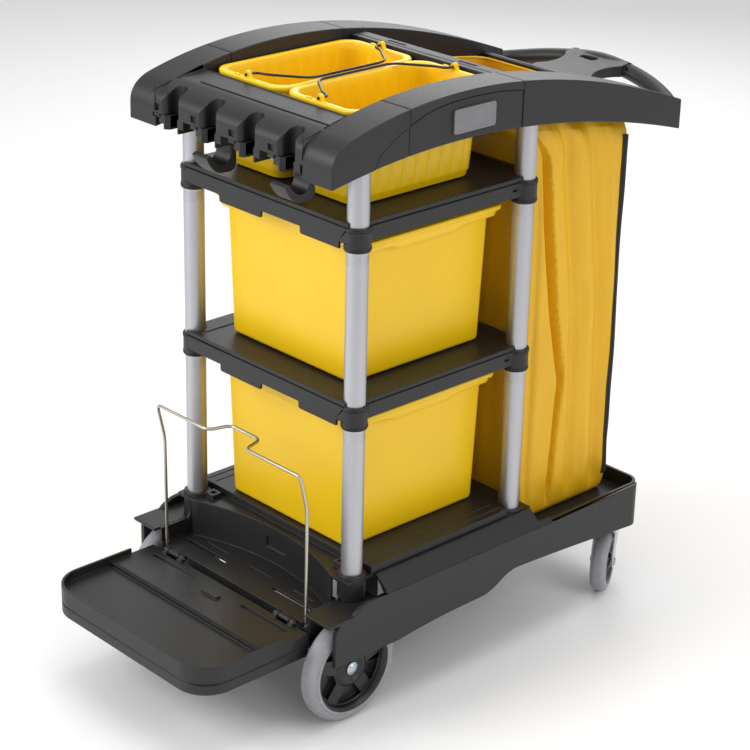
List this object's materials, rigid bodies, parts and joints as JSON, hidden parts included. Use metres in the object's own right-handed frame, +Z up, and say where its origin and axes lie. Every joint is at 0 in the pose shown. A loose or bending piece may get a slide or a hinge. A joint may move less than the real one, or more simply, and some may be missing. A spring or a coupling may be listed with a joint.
{
  "type": "wheeled cleaning cart",
  "caption": "Wheeled cleaning cart with bins, charging buckets, hanging waste bag, tool grips, push handle and a folding front platform.",
  "frame": {"origin": "middle of the footprint, on the floor", "axes": "+Z up; +Y towards the push handle and the bag; -Y towards the folding platform; +X towards the side that the bins slide out of"},
  "size_m": [0.552, 1.1919, 1.1122],
  "materials": {
    "aluminium_tube": "satin anodised tube",
    "black_plastic": "fine textured black moulding",
    "black_hub": "smooth black moulding",
    "grey_tyre": "smooth grey non-marking rubber",
    "zinc_steel": "bright zinc plate",
    "yellow_plastic": "satin yellow moulding",
    "yellow_vinyl": "coated yellow fabric with a soft sheen",
    "black_zip": "woven black tape",
    "plate_grey": "plain satin grey plate without lettering",
    "black_wire": "black coated wire",
    "bright_wire": "bright plated wire"
  },
  "bodies": {
    "cart_frame": {"post_front_left": "aluminium_tube", "post_front_right": "aluminium_tube", "post_rear_left": "aluminium_tube", "post_rear_right": "aluminium_tube", "upper_shelf": "black_plastic", "middle_shelf": "black_plastic", "base_chassis": "black_plastic", "left_side_skirt": "black_plastic", "right_side_skirt": "black_plastic", "left_middle_rail": "black_plastic", "right_middle_rail": "black_plastic", "left_rear_rail": "black_plastic", "right_rear_rail": "black_plastic", "front_head": "black_plastic", "tool_grip_1": "black_plastic", "tool_grip_2": "black_plastic", "tool_grip_3": "black_plastic", "tool_grip_4": "black_plastic", "tool_hook_left": "black_plastic", "tool_hook_right": "black_plastic", "well_crossbar": "black_plastic", "rear_handle": "black_plastic", "front_axle": "zinc_steel", "left_axle_cap": "zinc_steel", "right_axle_cap": "zinc_steel", "left_caster_plate": "zinc_steel", "right_caster_plate": "zinc_steel", "waste_bag": "yellow_vinyl", "bag_zip": "black_zip", "label_plate": "plate_grey"},
    "platform": {"folding_platform": "black_plastic", "left_platform_pin": "zinc_steel", "right_platform_pin": "zinc_steel"},
    "wire_frame": {"wire_frame": "bright_wire"},
    "left_wheel": {"left_wheel_hub": "black_hub", "left_wheel_tyre": "grey_tyre"},
    "right_wheel": {"right_wheel_hub": "black_hub", "right_wheel_tyre": "grey_tyre"},
    "left_caster": {"left_caster_fork": "zinc_steel", "left_caster_axle": "zinc_steel"},
    "right_caster": {"right_caster_fork": "zinc_steel", "right_caster_axle": "zinc_steel"},
    "left_caster_roller": {"left_caster_wheel": "black_hub", "left_caster_tyre": "grey_tyre"},
    "right_caster_roller": {"right_caster_wheel": "black_hub", "right_caster_tyre": "grey_tyre"},
    "upper_bin": {"upper_bin": "yellow_plastic"},
    "lower_bin": {"lower_bin": "yellow_plastic"},
    "left_bucket": {"left_bucket": "yellow_plastic"},
    "right_bucket": {"right_bucket": "yellow_plastic"},
    "left_bail": {"left_bucket_bail": "black_wire"},
    "right_bail": {"right_bucket_bail": "black_wire"}
  },
  "joints": [
    {"name": "platform_fold", "type": "hinge", "parent": "cart_frame", "child": "platform", "pos_m": [0, -0.355, 0.187], "axis": [-1, 0, 0], "range_deg": [0, 90]},
    {"name": "wire_frame_fold", "type": "hinge", "parent": "cart_frame", "child": "wire_frame", "pos_m": [0, -0.3425, 0.186], "axis": [1, 0, 0], "range_deg": [-12, 0]},
    {"name": "left_wheel_spin", "type": "hinge", "parent": "cart_frame", "child": "left_wheel", "pos_m": [-0.243, -0.285, 0.1016], "axis": [1, 0, 0], "continuous": true},
    {"name": "right_wheel_spin", "type": "hinge", "parent": "cart_frame", "child": "right_wheel", "pos_m": [0.243, -0.285, 0.1016], "axis": [1, 0, 0], "continuous": true},
    {"name": "left_caster_swivel", "type": "hinge", "parent": "cart_frame", "child": "left_caster", "pos_m": [-0.215, 0.437, 0.14], "axis": [0, 0, 1], "continuous": true},
    {"name": "left_caster_roll", "type": "hinge", "parent": "left_caster", "child": "left_caster_roller", "pos_m": [-0.2025, 0.41535, 0.0625], "axis": [0.866, 0.5, 0], "continuous": true},
    {"name": "right_caster_swivel", "type": "hinge", "parent": "cart_frame", "child": "right_caster", "pos_m": [0.215, 0.437, 0.14], "axis": [0, 0, 1], "continuous": true},
    {"name": "right_caster_roll", "type": "hinge", "parent": "right_caster", "child": "right_caster_roller", "pos_m": [0.2275, 0.41535, 0.0625], "axis": [0.866, 0.5, 0], "continuous": true},
    {"name": "upper_bin_slide", "type": "slide", "parent": "cart_frame", "child": "upper_bin", "axis": [1, 0, 0], "range_m": [0, 0.36]},
    {"name": "lower_bin_slide", "type": "slide", "parent": "cart_frame", "child": "lower_bin", "axis": [1, 0, 0], "range_m": [0, 0.36]},
    {"name": "left_bucket_lift", "type": "slide", "parent": "cart_frame", "child": "left_bucket", "axis": [0, 0, 1], "range_m": [0, 0.25]},
    {"name": "left_bail_swing", "type": "hinge", "parent": "left_bucket", "child": "left_bail", "pos_m": [-0.09275, -0.055, 1.093], "axis": [0, -1, 0], "range_deg": [0, 175]},
    {"name": "right_bucket_lift", "type": "slide", "parent": "cart_frame", "child": "right_bucket", "axis": [0, 0, 1], "range_m": [0, 0.25]},
    {"name": "right_bail_swing", "type": "hinge", "parent": "right_bucket", "child": "right_bail", "pos_m": [0.09275, -0.055, 1.093], "axis": [0, 1, 0], "range_deg": [0, 175]}
  ]
}
